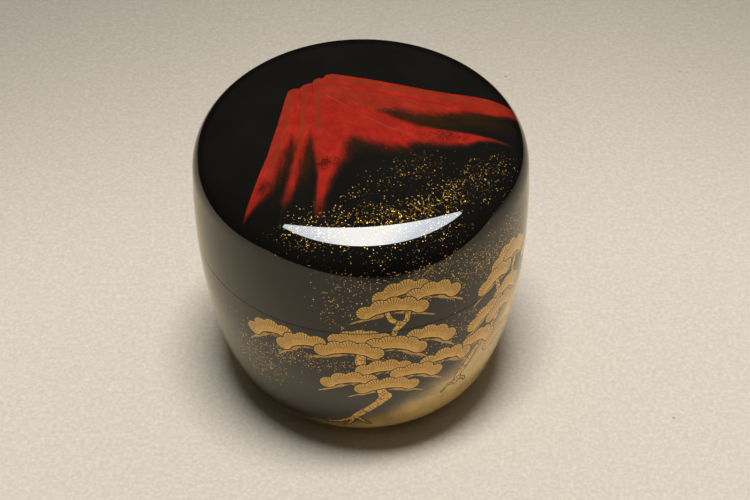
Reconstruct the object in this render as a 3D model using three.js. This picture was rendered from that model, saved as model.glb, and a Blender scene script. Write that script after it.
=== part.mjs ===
// Lacquer tea caddy of medium size, turned in wood and lacquered black.
// It is two pieces: a cup-shaped body with a thin rim standing inside its mouth, and a domed lid
// that slides down over the rim and meets the body in a hairline seam round the side.
// Millimetres, +Z up. The origin is in the middle of the ring that the caddy stands on.

import * as THREE from 'three';

// Outer form, shared by body and lid
const overallHeight = 64.5;
const widestRadius = 33;
const widestHeight = 42.6;
const seamHeight = 37.5;

// Crown and shoulder of the lid
const crownRise = 1.8;
const crownRadius = 18.6;
const shoulderDrop = 10.4;
const shoulderFullness = 0.585;

// Taper of the side down to the heel, and the rounded heel down to the foot
const heelRadius = 28.2;
const heelHeight = 6.6;
const taperSharpening = 0.45;
const heelFullness = 0.5;

// Foot ring and the shallow recess inside it
const footOuterRadius = 20.8;
const footInnerRadius = 18.4;
const recessRadius = 17.6;
const recessDepth = 0.8;

// Walls, floor and the rim that the lid slides over, with its eased edges
const lidWallAtSeam = 1.8;
const rimClearance = 0.3;
const rimThickness = 1.35;
const rimStand = 8;
const rimEdge = 0.35;
const seamEdge = 0.2;
const crownThickness = 2.5;
const boreTopDrop = 1.2;
const floorThickness = 3.2;
const floorRadius = 15.5;
const innerHeelHeight = 13.5;

// Fineness of the solids
const turns = 72;
const crownSteps = 4;
const shoulderSteps = 9;
const lidSideSteps = 3;
const bodySideSteps = 8;
const heelSteps = 7;
const ceilingSteps = 2;
const ceilingShoulderSteps = 7;
const innerSideSteps = 6;

const seamRadius = sideRadius(seamHeight);
const shoulderHeight = overallHeight - crownRise - shoulderDrop;
const lidBoreRadius = seamRadius - lidWallAtSeam;
const rimOuterRadius = lidBoreRadius - rimClearance;
const rimInnerRadius = rimOuterRadius - rimThickness;
const rimTop = seamHeight + rimStand;
const floorTop = recessDepth + floorThickness;

// Radius of the outer side at a height: widest a little above the seam, nearly straight above it,
// and drawn in more and more towards the heel.
function sideRadius(z) {
  const t = (widestHeight - z) / (widestHeight - heelHeight);
  const pull = t > 0 ? t * t * (1 - taperSharpening + taperSharpening * t) : t * t;
  return widestRadius - (widestRadius - heelRadius) * pull;
}

// How fast that radius grows with height.
function sideSlope(z) {
  const span = widestHeight - heelHeight;
  const t = (widestHeight - z) / span;
  const steepness = t > 0 ? t * (2 * (1 - taperSharpening) + 3 * taperSharpening * t) : 2 * t;
  return ((widestRadius - heelRadius) / span) * steepness;
}

// Points along the side from one height to another, moved inwards by a wall thickness.
function sidePoints(fromHeight, toHeight, steps, wall = 0) {
  return range(steps).map((i) => {
    const z = fromHeight + ((toHeight - fromHeight) * i) / steps;
    return at(sideRadius(z) - wall, z);
  });
}

// A curve that leaves its start along one direction and arrives at its end along another.
function sweep(start, startDirection, end, endDirection, steps) {
  const curve = new THREE.CubicBezierCurve(
    start,
    start.clone().add(startDirection),
    end.clone().sub(endDirection),
    end,
  );
  return curve.getPoints(steps);
}

// The rounded heel, from the outer edge of the foot up to the side.
function heelPoints() {
  const outwards = at((heelRadius - footOuterRadius) * heelFullness, 0);
  const upwards = at(sideSlope(heelHeight), 1).multiplyScalar(heelHeight * heelFullness);
  return sweep(at(footOuterRadius, 0), outwards, at(heelRadius, heelHeight), upwards, heelSteps);
}

// The shoulder of the lid, from the side, which leans by a slope, inwards to the edge of the crown.
function shoulderPoints(side, slope, crownEdgeHeight, steps) {
  const edge = new THREE.Vector2(crownRadius, crownEdgeHeight);
  const rise = (crownEdgeHeight - side.y) * shoulderFullness;
  const reach = (side.x - crownRadius) * shoulderFullness;
  const crownSlope = (2 * crownRise) / crownRadius;
  return sweep(side, at(rise * slope, rise), edge, at(-reach, reach * crownSlope), steps);
}

// The gently domed crown, from the shoulder in to the axis.
function crownPoints(topHeight, steps) {
  return range(steps, 1).map((i) => {
    const r = crownRadius * (1 - i / steps);
    return at(r, topHeight - crownRise * (r / crownRadius) ** 2);
  });
}

function range(steps, first = 0) {
  return Array.from({ length: steps + 1 - first }, (_, i) => i + first);
}

function at(radius, height) {
  return new THREE.Vector2(radius, height);
}

// One turned solid: a profile of radius and height spun about the upright axis.
function turned(name, profile, material) {
  const geometry = new THREE.LatheGeometry(profile, turns);
  geometry.rotateX(Math.PI / 2);
  const mesh = new THREE.Mesh(geometry, material);
  mesh.name = name;
  return mesh;
}

// The body: underside with its recess, heel, side, the flat land that the lid sits on,
// the standing rim, and the hollow inside with its rounded bottom.
function bodyProfile() {
  const wall = seamRadius - rimInnerRadius;
  const underside = [
    at(0, recessDepth),
    at(recessRadius, recessDepth),
    at(footInnerRadius, 0),
  ];
  const side = sidePoints(heelHeight, seamHeight - seamEdge, bodySideSteps).slice(1);
  const land = [
    at(seamRadius - seamEdge, seamHeight),
    at(rimOuterRadius, seamHeight),
  ];
  const rim = [
    at(rimOuterRadius, rimTop - rimEdge),
    at(rimOuterRadius - rimEdge, rimTop),
    at(rimInnerRadius + rimEdge, rimTop),
    at(rimInnerRadius, rimTop - rimEdge),
  ];
  const innerSide = sidePoints(seamHeight, innerHeelHeight, innerSideSteps, wall);
  const innerHeelTop = innerSide.at(-1);
  const innerHeel = sweep(
    innerHeelTop,
    at(0, -(innerHeelHeight - floorTop) * shoulderFullness),
    at(floorRadius, floorTop),
    at(-(innerHeelTop.x - floorRadius) * shoulderFullness, 0),
    heelSteps,
  ).slice(1);
  const outside = [...underside, ...heelPoints(), ...side, ...land];
  const inside = [...innerSide, ...innerHeel, at(0, floorTop)];
  return [...outside, ...rim, ...inside];
}

// The lid: ceiling, straight bore that slides over the rim, the thin edge at the seam,
// then the outer side, shoulder and crown.
function lidProfile() {
  const ceilingHeight = overallHeight - crownThickness;
  const boreTop = shoulderHeight - boreTopDrop;
  const ceiling = [
    ...shoulderPoints(at(lidBoreRadius, boreTop), 0, ceilingHeight - crownRise, ceilingShoulderSteps),
    ...crownPoints(ceilingHeight, ceilingSteps),
  ].reverse();
  const edge = [
    at(lidBoreRadius, seamHeight),
    at(seamRadius - seamEdge, seamHeight),
  ];
  const side = sidePoints(seamHeight + seamEdge, shoulderHeight, lidSideSteps).slice(0, -1);
  const shoulder = shoulderPoints(
    at(sideRadius(shoulderHeight), shoulderHeight),
    sideSlope(shoulderHeight),
    overallHeight - crownRise,
    shoulderSteps,
  );
  return [...ceiling, ...edge, ...side, ...shoulder, ...crownPoints(overallHeight, crownSteps)];
}

const bodyLacquer = new THREE.MeshStandardMaterial({ color: 0x2b2721, roughness: 0.16, metalness: 0 });
const lidLacquer = new THREE.MeshStandardMaterial({ color: 0x171614, roughness: 0.1, metalness: 0 });

const caddy = new THREE.Group();
caddy.add(turned('body', bodyProfile(), bodyLacquer));
caddy.add(turned('lid', lidProfile(), lidLacquer));

export default caddy;
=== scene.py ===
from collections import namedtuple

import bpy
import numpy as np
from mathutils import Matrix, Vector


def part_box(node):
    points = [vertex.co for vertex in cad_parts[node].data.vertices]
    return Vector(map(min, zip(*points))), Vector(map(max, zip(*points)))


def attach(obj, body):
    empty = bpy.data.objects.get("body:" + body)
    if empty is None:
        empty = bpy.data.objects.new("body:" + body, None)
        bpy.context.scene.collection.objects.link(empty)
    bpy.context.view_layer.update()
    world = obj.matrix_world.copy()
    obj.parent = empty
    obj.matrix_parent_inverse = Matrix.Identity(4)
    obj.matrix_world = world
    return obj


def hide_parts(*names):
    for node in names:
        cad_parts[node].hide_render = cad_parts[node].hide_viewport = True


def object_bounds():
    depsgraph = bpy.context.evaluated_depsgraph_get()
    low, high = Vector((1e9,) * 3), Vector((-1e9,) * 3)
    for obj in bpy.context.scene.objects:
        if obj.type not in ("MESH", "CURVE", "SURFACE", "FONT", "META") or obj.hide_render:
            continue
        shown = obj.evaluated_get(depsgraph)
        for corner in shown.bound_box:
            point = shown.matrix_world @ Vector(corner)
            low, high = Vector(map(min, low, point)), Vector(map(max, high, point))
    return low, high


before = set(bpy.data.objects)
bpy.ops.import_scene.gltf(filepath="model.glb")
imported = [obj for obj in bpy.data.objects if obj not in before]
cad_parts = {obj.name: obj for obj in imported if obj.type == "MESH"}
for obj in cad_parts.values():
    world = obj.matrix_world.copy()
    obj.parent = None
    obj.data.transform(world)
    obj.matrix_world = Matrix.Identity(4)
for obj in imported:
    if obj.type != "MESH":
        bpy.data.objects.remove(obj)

# Lacquer tea caddy: a turned body and a lift-off lid in polished black lacquer. A vermilion mountain
# lies across the lid, and gold pines, mist and flakes run round the side, all flush with the lacquer.
# Lengths in the settings are metres. The picture is laid out in millimetres, as the painter would
# measure it: across the unrolled side from the middle of the front, and up from the foot.

bl_info = {
    "name": "Lacquer Tea Caddy",
    "version": (1, 0, 0),
    "blender": (4, 5, 0),
    "location": "3D View > Sidebar > Tea Caddy",
    "description": "Turns a lacquered tea caddy and sprinkles its picture in gold and vermilion",
    "category": "Object",
}

MM = 0.001
CAD_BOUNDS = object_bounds()
BODY_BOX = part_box("body")
LID_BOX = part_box("lid")

# Turned form in millimetres, from the frame and from the profile of the solids
WIDEST_RADIUS = 33.0
WIDEST_HEIGHT = 42.6
CROWN_RISE = 1.8
CROWN_RADIUS = 18.6
SHOULDER_DROP = 10.4
SHOULDER_FULLNESS = 0.585
HEEL_RADIUS = 28.2
HEEL_HEIGHT = 6.6
TAPER_SHARPENING = 0.45
HEEL_FULLNESS = 0.5
FOOT_OUTER_RADIUS = 20.8
FOOT_INNER_RADIUS = 18.4
RECESS_RADIUS = 17.6
RECESS_DEPTH = 0.8
LID_WALL = 1.8
RIM_CLEARANCE = 0.3
RIM_THICKNESS = 1.35
RIM_EDGE = 0.35
CROWN_THICKNESS = 2.5
BORE_TOP_DROP = 1.2
FLOOR_TOP = 4.0
FLOOR_RADIUS = 15.5
INNER_HEEL_HEIGHT = 13.5

# Bearing where the fine half of each turning starts: left of the front, on round to the right side
FINE_FROM = -58.0
# Height where the crown's disc begins on the map
DISC_FROM = 54.0

# What all the colour settings share
COLOUR = {"subtype": "COLOR", "size": 3, "min": 0.0, "max": 1.0}


class CaddySettings(bpy.types.PropertyGroup):
    overall_height: bpy.props.FloatProperty(
        name="Overall height", description="From the foot ring to the top of the lid's crown",
        default=CAD_BOUNDS[1][2] - CAD_BOUNDS[0][2], min=0.02, unit="LENGTH",
    )
    seam_height: bpy.props.FloatProperty(
        name="Seam height", description="Where the lid's lower edge meets the body",
        default=LID_BOX[0][2], min=0.01, unit="LENGTH",
    )
    rim_top: bpy.props.FloatProperty(
        name="Rim top", description="Top of the thin rim that stands inside the lid",
        default=BODY_BOX[1][2], min=0.01, unit="LENGTH",
    )
    seam_edge: bpy.props.FloatProperty(
        name="Seam edge", description="How far the two edges at the seam are eased",
        default=0.07 * MM, min=0.0, unit="LENGTH",
    )


class LacquerSettings(bpy.types.PropertyGroup):
    black: bpy.props.FloatVectorProperty(
        name="Black lacquer", description="Body of the polished black lacquer",
        default=(0.006, 0.0057, 0.0049), **COLOUR,
    )
    gold: bpy.props.FloatVectorProperty(
        name="Gold", description="Sprinkled gold of the pines",
        default=(0.68, 0.385, 0.076), **COLOUR,
    )
    needle: bpy.props.FloatVectorProperty(
        name="Needle lines", description="Darker lines between the pine needles",
        default=(0.06, 0.025, 0.004), **COLOUR,
    )
    mist: bpy.props.FloatVectorProperty(
        name="Gold mist", description="Fine gold powder along the foot of the pines",
        default=(0.74, 0.51, 0.18), **COLOUR,
    )
    vermilion: bpy.props.FloatVectorProperty(
        name="Vermilion", description="Red of the mountain",
        default=(0.4, 0.022, 0.013), **COLOUR,
    )
    coat_roughness: bpy.props.FloatProperty(
        name="Polish", description="Roughness of the clear top coat",
        default=0.03, min=0.0, max=1.0, subtype="FACTOR",
    )


class StageSettings(bpy.types.PropertyGroup):
    paper: bpy.props.FloatVectorProperty(
        name="Paper", description="Pale paper floor",
        default=(0.614, 0.572, 0.505), **COLOUR,
    )
    view_distance: bpy.props.FloatProperty(
        name="View distance", description="From the camera to the point that it looks at",
        default=0.4, min=0.1, unit="LENGTH",
    )
    view_elevation: bpy.props.FloatProperty(
        name="View elevation", description="How far the camera looks down",
        default=np.radians(44.1), unit="ROTATION",
    )
    key_power: bpy.props.FloatProperty(
        name="Key light", description="Power of the long soft light overhead",
        default=25.0, min=0.0,
    )
    broad_power: bpy.props.FloatProperty(
        name="Broad light", description="Power of the wide soft light overhead",
        default=0.4, min=0.0,
    )
    lens: bpy.props.FloatProperty(
        name="Lens", description="Focal length of the camera in millimetres",
        default=94.66, min=1.0,
    )
    camera_roll: bpy.props.FloatProperty(
        name="Camera roll", description="How far the camera leans to one side",
        default=np.radians(0.69), unit="ROTATION",
    )
    window_strength: bpy.props.FloatProperty(
        name="Window light", description="Brightness of the panel that the lacquer mirrors",
        default=16.0, min=0.0,
    )


# The turned form

def side_radius(z):
    """Radius of the outer side at a height in millimetres."""
    t = (WIDEST_HEIGHT - z) / (WIDEST_HEIGHT - HEEL_HEIGHT)
    drawn_in = t * t * (1 - TAPER_SHARPENING + TAPER_SHARPENING * t)
    return WIDEST_RADIUS - (WIDEST_RADIUS - HEEL_RADIUS) * np.where(t > 0, drawn_in, t * t)


def side_slope(z):
    """How fast that radius grows with height."""
    span = WIDEST_HEIGHT - HEEL_HEIGHT
    t = (WIDEST_HEIGHT - z) / span
    steepness = t * (2 * (1 - TAPER_SHARPENING) + 3 * TAPER_SHARPENING * t) if t > 0 else 2 * t
    return (WIDEST_RADIUS - HEEL_RADIUS) / span * steepness


def sweep(start, leaving, end, arriving, steps):
    """Points of a curve that leaves its start one way and arrives at its end another."""
    a, d = np.array(start, float), np.array(end, float)
    b, c = a + leaving, d - arriving
    t = np.linspace(0, 1, steps + 1)[:, None]
    return (1 - t) ** 3 * a + 3 * (1 - t) ** 2 * t * b + 3 * (1 - t) * t * t * c + t ** 3 * d


def line(start, end, step):
    """Points along a straight stretch, a step apart at most."""
    steps = max(1, int(np.ceil(np.hypot(*np.subtract(end, start)) / step)))
    return np.linspace(start, end, steps + 1)


def eased(corner, arriving, leaving):
    """Points round a corner of the rim, which comes in one way and goes out another."""
    corner = np.array(corner)
    arriving, leaving = np.multiply(arriving, RIM_EDGE), np.multiply(leaving, RIM_EDGE)
    return sweep(corner - arriving, arriving / 2, corner + leaving, leaving / 2, 3)


def side_line(low, high, step, wall=0.0):
    """Points up the side, moved inwards by a wall."""
    z = np.linspace(low, high, max(1, int(np.ceil(abs(high - low) / step))) + 1)
    return np.stack([side_radius(z) - wall, z], axis=1)


def shoulder(side, slope, edge_height, steps):
    """The shoulder, from the side in to the edge of the crown."""
    rise = (edge_height - side[1]) * SHOULDER_FULLNESS
    reach = (side[0] - CROWN_RADIUS) * SHOULDER_FULLNESS
    leaving = np.array([rise * slope, rise])
    arriving = np.array([-reach, reach * 2 * CROWN_RISE / CROWN_RADIUS])
    return sweep(side, leaving, (CROWN_RADIUS, edge_height), arriving, steps)


def crown(top, step):
    """The domed crown, from its edge in to the axis."""
    r = np.linspace(CROWN_RADIUS, 0, int(np.ceil(CROWN_RADIUS / step)) + 1)
    return np.stack([r, top - CROWN_RISE * (r / CROWN_RADIUS) ** 2], axis=1)


def joined(*stretches):
    """One chain of points from stretches that share their end points."""
    points = [np.asarray(stretches[0], float)]
    for stretch in stretches[1:]:
        stretch = np.asarray(stretch, float)
        met = np.allclose(stretch[0], points[-1][-1])
        points.append(stretch[1:] if met else stretch)
    return np.vstack(points)


def heel(steps):
    leaving = np.array([(HEEL_RADIUS - FOOT_OUTER_RADIUS) * HEEL_FULLNESS, 0])
    arriving = np.array([side_slope(HEEL_HEIGHT), 1]) * HEEL_HEIGHT * HEEL_FULLNESS
    return sweep((FOOT_OUTER_RADIUS, 0), leaving, (HEEL_RADIUS, HEEL_HEIGHT), arriving, steps)


def body_profile(settings):
    """Half section of the body, from the middle of the underside round to the middle of the floor."""
    seam = settings.seam_height / MM
    rim_top = settings.rim_top / MM
    edge = settings.seam_edge / MM
    seam_radius = float(side_radius(seam))
    rim_outer = seam_radius - LID_WALL - RIM_CLEARANCE
    rim_inner = rim_outer - RIM_THICKNESS
    wall = seam_radius - rim_inner
    inner_heel_top = (float(side_radius(INNER_HEEL_HEIGHT)) - wall, INNER_HEEL_HEIGHT)
    fall = (INNER_HEEL_HEIGHT - FLOOR_TOP) * SHOULDER_FULLNESS
    inwards = (inner_heel_top[0] - FLOOR_RADIUS) * SHOULDER_FULLNESS
    return joined(
        line((0, RECESS_DEPTH), (RECESS_RADIUS, RECESS_DEPTH), 6),
        line((RECESS_RADIUS, RECESS_DEPTH), (FOOT_INNER_RADIUS, 0), 1),
        line((FOOT_INNER_RADIUS, 0), (FOOT_OUTER_RADIUS, 0), 3),
        heel(36),
        side_line(HEEL_HEIGHT, seam - edge, 0.27),
        line((seam_radius, seam - edge), (seam_radius - edge, seam), 1),
        line((seam_radius - edge, seam), (rim_outer, seam), 2),
        line((rim_outer, seam), (rim_outer, rim_top - RIM_EDGE), 5),
        eased((rim_outer, rim_top), (0, 1), (-1, 0)),
        line((rim_outer - RIM_EDGE, rim_top), (rim_inner + RIM_EDGE, rim_top), 1),
        eased((rim_inner, rim_top), (-1, 0), (0, -1)),
        line((rim_inner, rim_top - RIM_EDGE), (rim_inner, seam), 5),
        side_line(seam, INNER_HEEL_HEIGHT, 4, wall),
        sweep(inner_heel_top, (0, -fall), (FLOOR_RADIUS, FLOOR_TOP), (-inwards, 0), 12),
        line((FLOOR_RADIUS, FLOOR_TOP), (0, FLOOR_TOP), 8),
    )


def lid_profile(settings):
    """Half section of the lid, from the middle of its ceiling round to the middle of its crown."""
    seam = settings.seam_height / MM
    top = settings.overall_height / MM
    edge = settings.seam_edge / MM
    seam_radius = float(side_radius(seam))
    bore = seam_radius - LID_WALL
    shoulder_height = top - CROWN_RISE - SHOULDER_DROP
    ceiling = top - CROWN_THICKNESS
    bore_top = shoulder_height - BORE_TOP_DROP
    inside = joined(
        shoulder((bore, bore_top), 0, ceiling - CROWN_RISE, 12),
        crown(ceiling, 6),
    )[::-1]
    side_top = (float(side_radius(shoulder_height)), shoulder_height)
    return joined(
        inside,
        line((bore, bore_top), (bore, seam), 6),
        line((bore, seam), (seam_radius - edge, seam), 2),
        line((seam_radius - edge, seam), (seam_radius, seam + edge), 1),
        side_line(seam + edge, shoulder_height, 0.3),
        shoulder(side_top, side_slope(shoulder_height), top - CROWN_RISE, 44),
        crown(top, 0.42),
    )


def half_turn(profile, start, columns):
    """Draws a half section as a chain of points and turns it half way round, from a bearing in degrees."""
    bpy.ops.object.select_all(action="DESELECT")
    bpy.ops.mesh.primitive_plane_add(size=MM, location=(0, 0, 0))
    shell = bpy.context.active_object
    bearing = np.radians(start)
    outwards = np.array([np.sin(bearing), -np.cos(bearing)])
    places = np.column_stack([profile[:, :1] * outwards, profile[:, 1]]) * MM
    bpy.ops.object.mode_set(mode="EDIT")
    bpy.ops.mesh.merge(type="CENTER")
    bpy.ops.transform.translate(value=tuple(places[0]))
    for step in np.diff(places, axis=0):
        bpy.ops.mesh.extrude_region_move(TRANSFORM_OT_translate={"value": tuple(step)})
    bpy.ops.object.mode_set(mode="OBJECT")
    bpy.ops.object.modifier_add(type="SCREW")
    lathe = shell.modifiers[-1]
    lathe.angle = np.pi
    lathe.steps = lathe.render_steps = columns
    bpy.ops.object.modifier_apply(modifier=lathe.name)
    return shell


def turn(name, profile, fine_columns, plain_columns):
    """Turns a half section into a closed piece, fine on the half with the picture and plainer behind."""
    piece = half_turn(profile, FINE_FROM, fine_columns)
    behind = half_turn(profile, FINE_FROM + 180.0, plain_columns)
    bpy.ops.object.select_all(action="DESELECT")
    piece.select_set(True)
    behind.select_set(True)
    bpy.context.view_layer.objects.active = piece
    bpy.ops.object.join()
    piece.name = name
    piece.data.name = name
    bpy.ops.object.mode_set(mode="EDIT")
    bpy.ops.mesh.select_all(action="SELECT")
    bpy.ops.mesh.remove_doubles(threshold=MM / 500)
    bpy.ops.mesh.normals_make_consistent(inside=False)
    bpy.ops.object.mode_set(mode="OBJECT")
    bpy.ops.object.shade_smooth_by_angle(angle=np.radians(25))
    return piece


# The picture, as fields over the surface

Pad = namedtuple("Pad", "left right rise fans layer twigs")

# Pads of needles, each an arch of fans from its left fan to its right one
PADS = (
    # The near pine, from its top tier down
    Pad((3.5, 46.8), (11.2, 48.3), 1.3, 4, "back", ""),
    Pad((9.9, 46.2), (18.1, 44.3), 1.5, 4, "middle", "right"),
    Pad((0.6, 43.2), (11.2, 43.0), 1.9, 5, "front", "both"),
    Pad((-22.7, 31.7), (-15.4, 34.7), 1.4, 4, "back", "left"),
    Pad((-15.9, 31.1), (-8.7, 34.2), 1.3, 4, "middle", "left"),
    Pad((-5.0, 35.6), (3.9, 35.8), 1.2, 5, "back", ""),
    Pad((-7.8, 32.1), (2.5, 31.8), 1.8, 5, "front", "both"),
    Pad((2.2, 34.4), (11.1, 31.7), 1.4, 5, "middle", "right"),
    Pad((10.1, 35.4), (17.4, 32.4), 1.3, 4, "back", "right"),
    Pad((0.1, 26.8), (8.0, 26.9), 1.1, 4, "back", ""),
    Pad((7.0, 24.9), (15.0, 22.7), 1.3, 4, "middle", "right"),
    Pad((-7.2, 22.1), (1.2, 23.7), 1.5, 4, "middle", "left"),
    Pad((-0.2, 20.7), (10.0, 20.3), 1.7, 5, "front", "both"),
    Pad((13.0, 26.4), (22.0, 24.0), 1.6, 4, "back", "right"),
    # The far pine, round the right side
    Pad((22.6, 26.6), (29.2, 24.0), 1.4, 4, "far", "right"),
    Pad((25.8, 39.6), (33.3, 39.9), 1.4, 4, "front", "left"),
    Pad((29.4, 43.1), (34.8, 44.2), 0.9, 3, "back", ""),
    Pad((33.2, 42.2), (40.0, 40.5), 1.5, 4, "middle", "right"),
    Pad((23.6, 31.0), (30.8, 32.2), 1.3, 4, "middle", "left"),
    Pad((30.6, 34.4), (37.6, 32.9), 1.6, 4, "back", "right"),
    Pad((28.9, 29.7), (36.3, 29.1), 1.7, 4, "front", ""),
    Pad((29.6, 20.8), (37.7, 20.2), 1.5, 4, "middle", "both"),
    # Plainer boughs on the side that the front doesn't show
    Pad((42.6, 36.6), (50.6, 35.6), 1.6, 4, "back", "right"),
    Pad((39.4, 25.4), (47.2, 26.2), 1.5, 4, "front", "left"),
    Pad((47.0, 31.4), (55.4, 29.6), 1.6, 4, "middle", "right"),
    Pad((-80.0, 27.4), (-71.6, 28.6), 1.6, 4, "middle", "left"),
    Pad((-73.2, 25.2), (-64.6, 23.6), 1.6, 4, "front", "right"),
)
LAYERS = ("far", "back", "middle", "front")
FAN_WIDTH = 1.72
FAN_HEIGHT = 1.62
NEEDLE_DEGREES = 13.0
NOTHING = -9.0

# Trunks and boughs: points of (across, height, half width)
TRUNKS = (
    ((-3.2, 8.8, 0.5), (-1.0, 11.0, 0.85), (1.4, 13.4, 0.95), (3.4, 15.6, 1.0), (4.6, 17.4, 1.35)),
    ((4.6, 17.4, 1.35), (3.9, 18.9, 0.95), (3.4, 21.0, 0.9), (1.8, 24.0, 0.8)),
    ((1.8, 24.0, 0.8), (-0.2, 27.8, 0.75), (-0.5, 29.4, 1.05), (-0.3, 32.0, 0.9)),
    ((5.8, 36.2, 0.55), (6.2, 37.8, 0.6), (7.4, 39.2, 0.65), (5.4, 40.8, 0.5), (4.6, 42.9, 0.42)),
    ((7.4, 39.2, 0.65), (8.5, 40.3, 0.5), (8.8, 42.6, 0.5)),
    ((21.0, 14.6, 0.6), (21.6, 17.2, 0.8), (23.4, 19.8, 0.85), (25.0, 22.6, 0.6), (26.6, 24.0, 0.4)),
    ((29.9, 39.4, 0.55), (30.1, 37.4, 0.65), (30.8, 35.4, 0.5)),
    ((26.6, 24.0, 0.5), (30.6, 27.6, 0.7), (33.0, 31.8, 0.65), (35.8, 37.0, 0.6), (37.0, 41.0, 0.45)),
    ((36.6, 15.2, 0.5), (38.6, 19.0, 0.75), (42.0, 23.6, 0.8), (46.6, 28.6, 0.65), (47.4, 34.6, 0.5)),
    ((-76.0, 13.0, 0.6), (-73.0, 17.6, 0.85), (-71.0, 21.6, 0.8), (-74.6, 26.6, 0.6)),
)
ROOTS = (
    ((-3.2, 8.8, 0.42), (-5.6, 7.4, 0.3), (-8.4, 6.6, 0.14)),
    ((-2.4, 9.0, 0.42), (-3.0, 7.2, 0.3), (-4.6, 5.8, 0.14)),
    ((-1.6, 9.8, 0.42), (-0.2, 7.8, 0.3), (1.4, 6.6, 0.14)),
    ((21.0, 14.8, 0.42), (19.2, 14.9, 0.3), (17.8, 13.2, 0.16)),
    ((21.8, 15.6, 0.4), (23.4, 14.4, 0.25), (24.0, 13.2, 0.14)),
    ((-76.0, 13.2, 0.4), (-78.0, 11.6, 0.3), (-80.0, 10.8, 0.14)),
    ((-75.4, 13.0, 0.4), (-73.8, 11.2, 0.3), (-72.4, 10.4, 0.14)),
)

# Banks of gold flakes: centre across and up, reach across and up, tilt, density
FLAKE_BANKS = (
    (-14.5, 27.8, 8.5, 2.6, 2, 0.95),
    (-23.0, 22.0, 6.0, 5.5, 30, 0.5),
    (-4.0, 27.6, 4.5, 1.8, 0, 0.6),
    (-3.6, 44.6, 4.4, 3.6, -35, 0.5),
    (-1.0, 49.5, 4.5, 3.0, 0, 0.45),
    (13.0, 51.0, 9.0, 2.2, -6, 0.7),
    (18.5, 46.0, 5.5, 3.2, -38, 0.8),
    (26.0, 47.6, 6.5, 3.6, -10, 0.95),
    (34.0, 48.6, 6.0, 3.0, 0, 0.6),
    (18.5, 31.5, 3.6, 3.6, -30, 0.75),
    (10.0, 29.6, 8.0, 1.2, -8, 0.55),
    (21.5, 35.0, 2.6, 2.0, -40, 0.5),
    (47.0, 46.5, 9.0, 3.0, -6, 0.5),
    (60.0, 34.0, 9.0, 5.0, -20, 0.4),
    (-48.0, 31.0, 12.0, 4.0, 8, 0.35),
    (-88.0, 34.0, 14.0, 4.0, -6, 0.35),
)
# How high the mist stands round the foot, as points of (across, height)
MIST_LINE = (
    (-104, 5), (-90, 13), (-78, 15), (-62, 8), (-30, 2), (-14, 3), (-6, 6), (0, 7.5), (5, 10),
    (10, 14.5), (15, 17.5), (20, 19.5), (30, 26), (38, 31), (46, 27), (58, 21), (72, 15), (104, 5),
)
MIST_FADE = 10.0


def smooth_union(a, b, k):
    near = np.maximum(k - np.abs(a - b), 0.0) / np.maximum(k, 1e-6)
    return np.maximum(a, b) + near * near * k * 0.25


def arch(pad, share):
    """Places along a pad's arch, from its left fan at -1 to its right fan at 1, and beyond."""
    left, right = np.array(pad.left), np.array(pad.right)
    along = right - left
    upwards = np.array([-along[1], along[0]]) / np.hypot(*along)
    share = np.asarray(share, float)[..., None]
    return (left + right) / 2 + share * along / 2 + upwards * pad.rise * (1 - share ** 2)


def pad_field(across, height, pad):
    """Distance inside a pad in millimetres, the count of its needle lines and their strength."""
    shares = np.linspace(-1, 1, pad.fans)
    roots = arch(pad, shares)
    inside = own = second = np.full(across.shape, NOTHING)
    count = np.zeros(across.shape)
    reach = np.zeros(across.shape)
    for share, root in zip(shares, roots):
        ahead = arch(pad, share + 0.05) - arch(pad, share - 0.05)
        bearing = -np.arctan2(ahead[1], ahead[0]) * 1.15
        sine, cosine = np.sin(bearing), np.cos(bearing)
        size = 1.04 - 0.06 * share ** 2
        ax = (across - root[0]) * cosine - (height - root[1]) * sine
        ay = (across - root[0]) * sine + (height - root[1]) * cosine
        q = np.hypot(ax / (FAN_WIDTH * size), ay / (FAN_HEIGHT * size)) + 1e-6
        steepness = np.hypot(ax / FAN_WIDTH ** 2, ay / FAN_HEIGHT ** 2) / (q * size ** 2) + 1e-6
        d = np.clip((1 - q) / steepness, -6, 3)
        under = np.clip((0.2 - ay) / 1.2, 0, 1)
        inside = d if share == -1 else smooth_union(inside, d, 1.5 * under)
        nearer = d > own
        second = np.where(nearer, own, np.maximum(second, d))
        own = np.where(nearer, d, own)
        lines = np.degrees(np.arctan2(ax, ay + FAN_HEIGHT * 0.9)) / NEEDLE_DEGREES
        count = np.where(nearer, lines + 0.5, count)
        reach = np.where(nearer, np.hypot(ax, ay + FAN_HEIGHT * 0.9) / (1.9 * FAN_HEIGHT), reach)
    apart = np.clip((own - second) / 0.3, 0, 1)
    strength = apart * np.clip((reach - 0.3) / 0.4, 0, 1) * np.clip((inside + 0.02) / 0.12, 0, 1)
    return inside, count, strength


def foliage(across, height, layer):
    """The pads of one layer together."""
    field = np.zeros((len(across), 3))
    field[:, 0] = NOTHING
    for pad in PADS:
        if pad.layer != layer:
            continue
        middle = arch(pad, 0)
        near = (abs(across - middle[0]) < 9) & (abs(height - middle[1]) < 9)
        own = np.stack(pad_field(across[near], height[near], pad), axis=1)
        old = field[near]
        field[near] = np.where(own[:, :1] > old[:, :1], own, old)
    return field.T


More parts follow.
